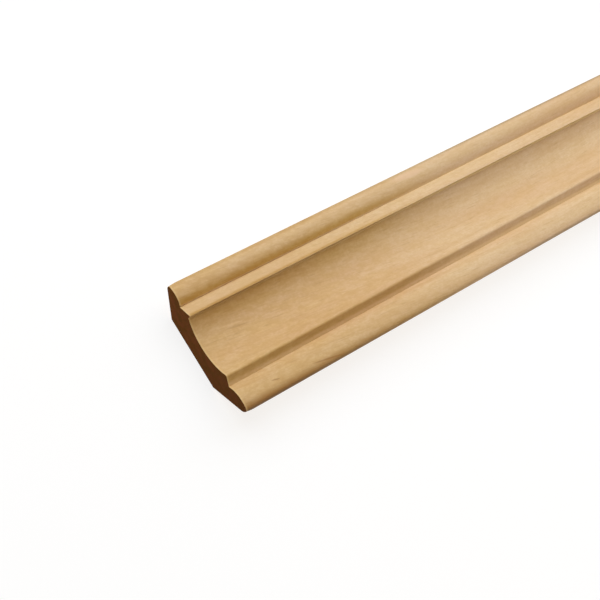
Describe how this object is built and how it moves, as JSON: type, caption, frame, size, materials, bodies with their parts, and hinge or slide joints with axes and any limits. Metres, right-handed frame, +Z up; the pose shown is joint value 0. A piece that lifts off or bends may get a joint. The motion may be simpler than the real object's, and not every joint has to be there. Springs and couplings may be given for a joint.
{
  "type": "cornice moulding",
  "caption": "Length of solid softwood cornice moulding: a cove between an upper bead and a lower ovolo, with bevelled wall and ceiling seats on the back.",
  "frame": {"origin": "middle of the flat back, half way along the length, on the surface that the piece lies on", "axes": "+X along the length, +Y across the width towards the ceiling edge, +Z up out of the moulded front"},
  "size_m": [2.4, 0.06, 0.017],
  "materials": {
    "wood": "planed and sanded softwood, unfinished"
  },
  "bodies": {
    "root": {"moulding": "wood"}
  },
  "joints": []
}
